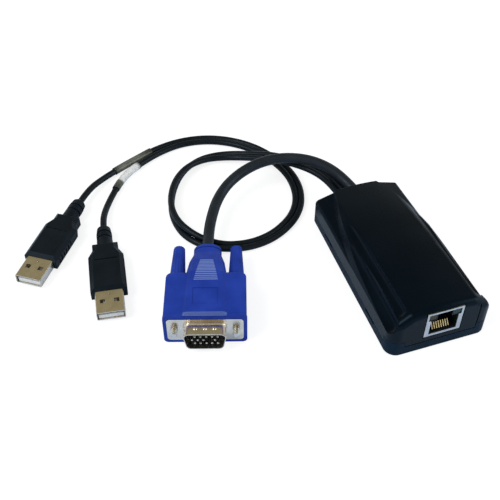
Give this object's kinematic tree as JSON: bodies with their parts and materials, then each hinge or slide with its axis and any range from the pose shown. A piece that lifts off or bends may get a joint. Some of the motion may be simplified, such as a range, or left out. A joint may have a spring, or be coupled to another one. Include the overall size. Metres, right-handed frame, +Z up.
{
  "type": "kvm dongle",
  "caption": "Small housing with a network socket in front, and a video plug and USB plugs on short cords that lie beside it in a loose loop",
  "frame": {"origin": "middle of the housing's underside, which rests on the table", "axes": "+Z up, the network socket looks along -Y, the cords leave the housing along +Y"},
  "size_m": [0.1801, 0.1632, 0.0234],
  "materials": {
    "top_cover": "smooth gloss, near black",
    "bottom_shell": "fine matt texture, blue grey black",
    "jack_shield": "tinned sheet",
    "jack_body": "matt black",
    "jack_light_left": "clear amber, unlit",
    "jack_light_right": "clear green, unlit",
    "jack_contacts": "gold plated",
    "circuit_board": "green solder resist",
    "main_chip": "moulded black",
    "memory_chip": "moulded black",
    "crystal": "drawn can",
    "capacitors": "satin can",
    "video_header": "ivory nylon",
    "usb_header": "ivory nylon",
    "cord_gland": "soft black",
    "video_hood": "moulded blue, half matt",
    "video_shell": "tinned steel",
    "video_insulator": "matt black",
    "video_pins": "gold plated",
    "thumbscrew": "plated screw",
    "thumbscrew_knob": "moulded blue",
    "usb_shell": "plated steel sheet",
    "usb_tongue": "white",
    "usb_contacts": "gold plated",
    "usb_boot": "soft black overmould",
    "video_cable": "soft black jacket",
    "usb_lead": "soft black jacket",
    "label": "white laminate, bare"
  },
  "bodies": {
    "dongle": {"top_cover": "top_cover", "bottom_shell": "bottom_shell", "jack_shield": "jack_shield", "jack_body": "jack_body", "jack_light_left": "jack_light_left", "jack_light_right": "jack_light_right", "jack_contacts": "jack_contacts", "circuit_board": "circuit_board", "main_chip": "main_chip", "memory_chip": "memory_chip", "crystal": "crystal", "capacitors": "capacitors", "video_header": "video_header", "usb_header": "usb_header", "cord_gland": "cord_gland", "video_hood": "video_hood", "video_shell": "video_shell", "video_insulator": "video_insulator", "video_pins": "video_pins", "video_cable": "video_cable", "usb_a_shell": "usb_shell", "usb_a_tongue": "usb_tongue", "usb_a_contacts": "usb_contacts", "usb_a_boot": "usb_boot", "usb_lead_a": "usb_lead", "label_a": "label", "usb_b_shell": "usb_shell", "usb_b_tongue": "usb_tongue", "usb_b_contacts": "usb_contacts", "usb_b_boot": "usb_boot", "usb_lead_b": "usb_lead", "label_b": "label"},
    "thumbscrew_body_left": {"thumbscrew_left": "thumbscrew", "thumbscrew_knob_left": "thumbscrew_knob"},
    "thumbscrew_body_right": {"thumbscrew_right": "thumbscrew", "thumbscrew_knob_right": "thumbscrew_knob"}
  },
  "joints": [
    {"name": "thumbscrew_left_turn", "type": "hinge", "parent": "dongle", "child": "thumbscrew_body_left", "pos_m": [-0.10089, -0.00666, 0.008], "axis": [-0.3074, -0.9516, 0], "continuous": true},
    {"name": "thumbscrew_right_turn", "type": "hinge", "parent": "dongle", "child": "thumbscrew_body_right", "pos_m": [-0.07711, -0.01434, 0.008], "axis": [-0.3074, -0.9516, 0], "continuous": true}
  ]
}
